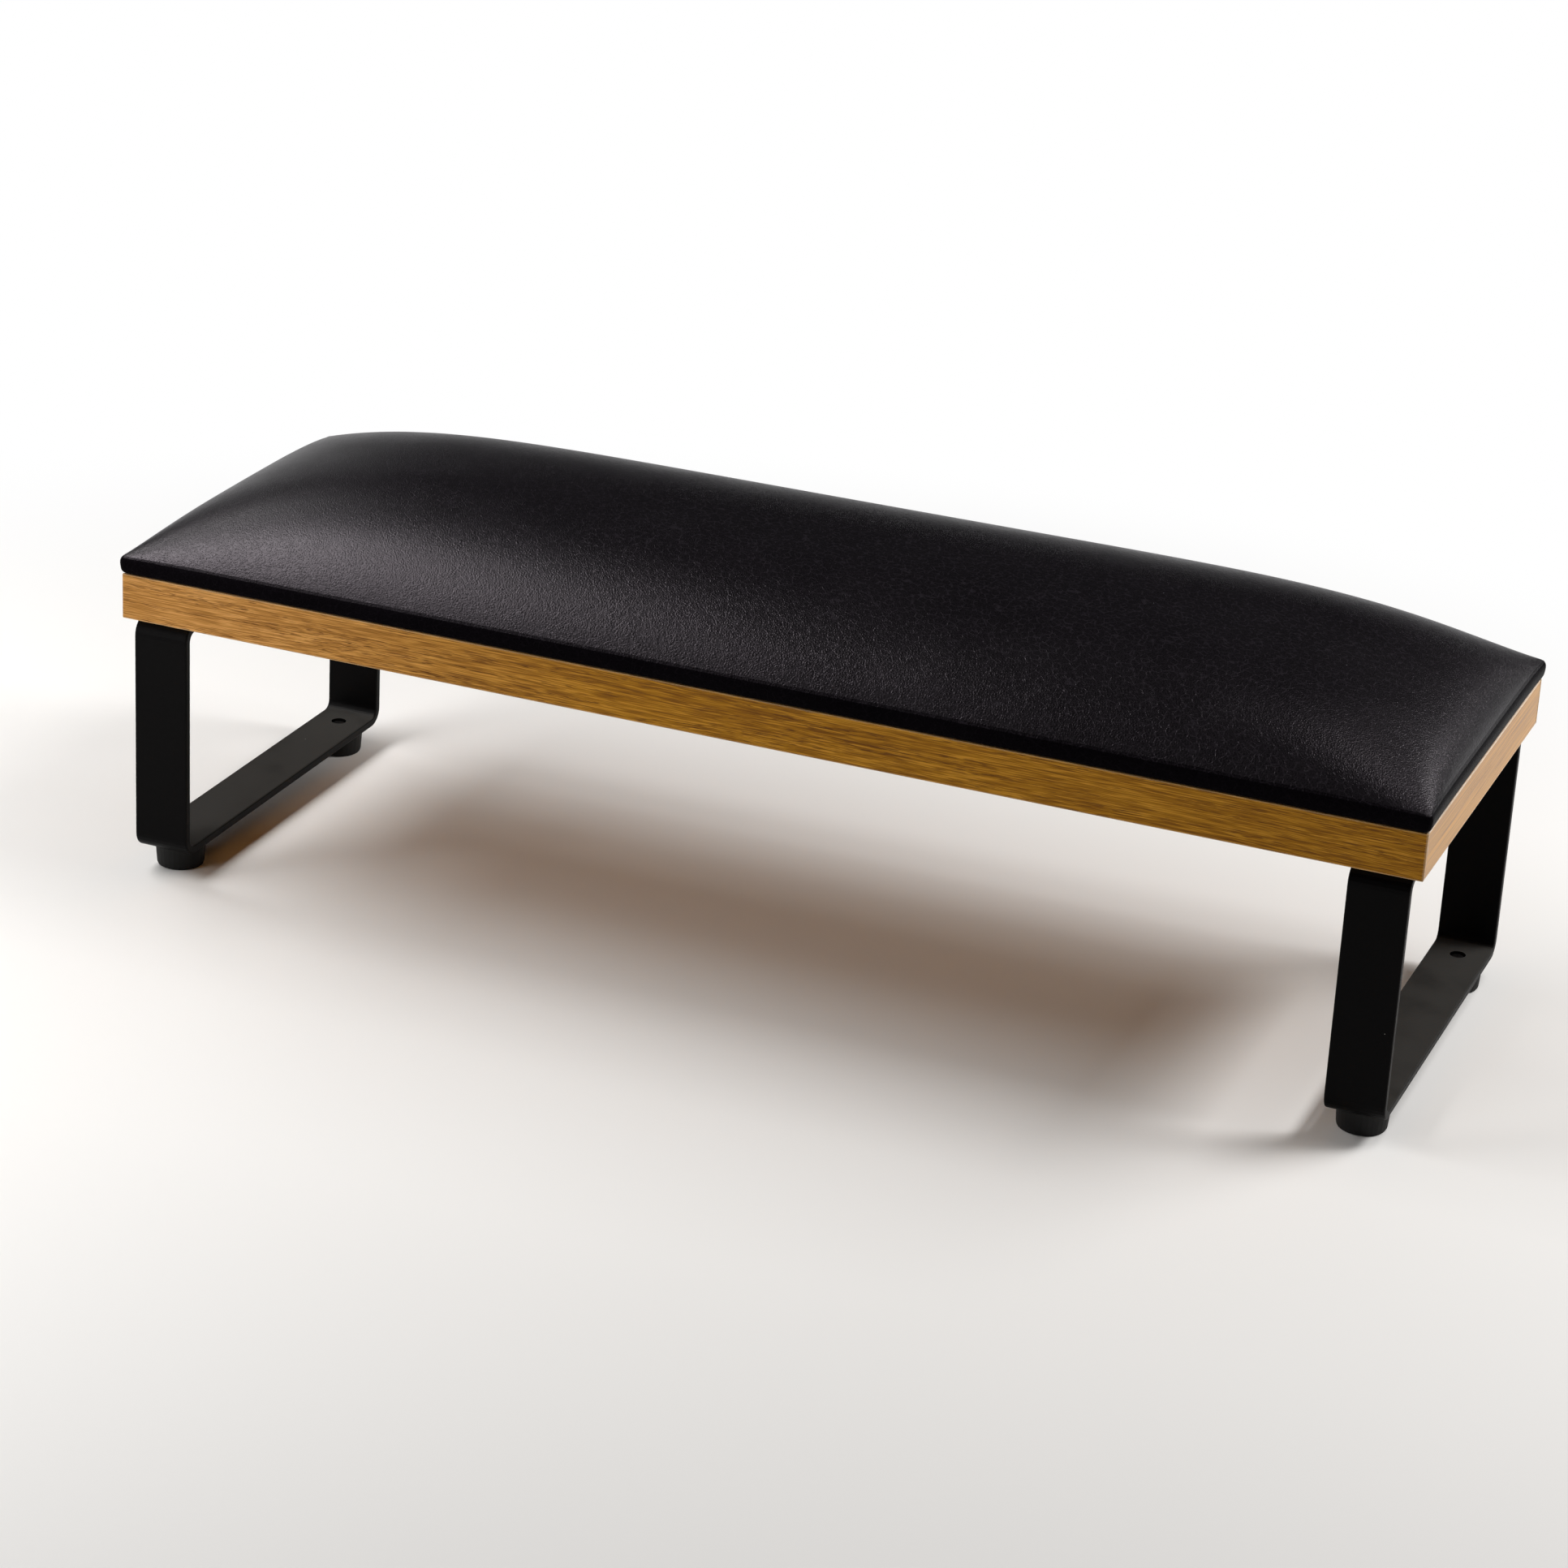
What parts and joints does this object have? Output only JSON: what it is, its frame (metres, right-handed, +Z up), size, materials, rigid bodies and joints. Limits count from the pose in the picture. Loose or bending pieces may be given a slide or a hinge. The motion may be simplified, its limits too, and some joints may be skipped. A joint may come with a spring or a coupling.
{
  "type": "manicure hand rest",
  "caption": "Free-standing wrist and hand rest: a long crowned faux-leather cushion on an oak-look board, carried by two closed flat-bar leg loops with rubber feet.",
  "frame": {"origin": "on the surface the feet stand on, below the middle of the object", "axes": "+X along the board, +Y to the back, +Z up"},
  "size_m": [0.4554, 0.15, 0.1399],
  "materials": {
    "faux_leather": "satin",
    "cushion_foam": "matte",
    "hardboard": "matte",
    "oak_board": "satin",
    "oak_edge_band": "satin",
    "black_powder_coat": "satin",
    "black_rubber": "matte",
    "plated_steel": "satin",
    "black_steel": "satin"
  },
  "bodies": {
    "root": {"board_core": "oak_board", "edge_band_front": "oak_edge_band", "edge_band_back": "oak_edge_band", "edge_band_left": "oak_edge_band", "edge_band_right": "oak_edge_band", "cushion_cover": "faux_leather", "cushion_foam": "cushion_foam", "cushion_board": "hardboard", "staple_01": "plated_steel", "staple_02": "plated_steel", "staple_03": "plated_steel", "staple_04": "plated_steel", "staple_05": "plated_steel", "staple_06": "plated_steel", "staple_07": "plated_steel", "staple_08": "plated_steel", "staple_09": "plated_steel", "staple_10": "plated_steel", "staple_11": "plated_steel", "staple_12": "plated_steel", "staple_13": "plated_steel", "staple_14": "plated_steel", "leg_left": "black_powder_coat", "leg_screw_left_1": "plated_steel", "leg_screw_left_2": "plated_steel", "leg_screw_left_3": "plated_steel", "leg_right": "black_powder_coat", "leg_screw_right_1": "plated_steel", "leg_screw_right_2": "plated_steel", "leg_screw_right_3": "plated_steel", "foot_front_left": "black_rubber", "foot_washer_front_left": "plated_steel", "foot_screw_front_left": "black_steel", "foot_back_left": "black_rubber", "foot_washer_back_left": "plated_steel", "foot_screw_back_left": "black_steel", "foot_front_right": "black_rubber", "foot_washer_front_right": "plated_steel", "foot_screw_front_right": "black_steel", "foot_back_right": "black_rubber", "foot_washer_back_right": "plated_steel", "foot_screw_back_right": "black_steel", "cushion_screw_1": "plated_steel", "cushion_screw_2": "plated_steel", "cushion_screw_3": "plated_steel", "cushion_screw_4": "plated_steel"}
  },
  "joints": []
}
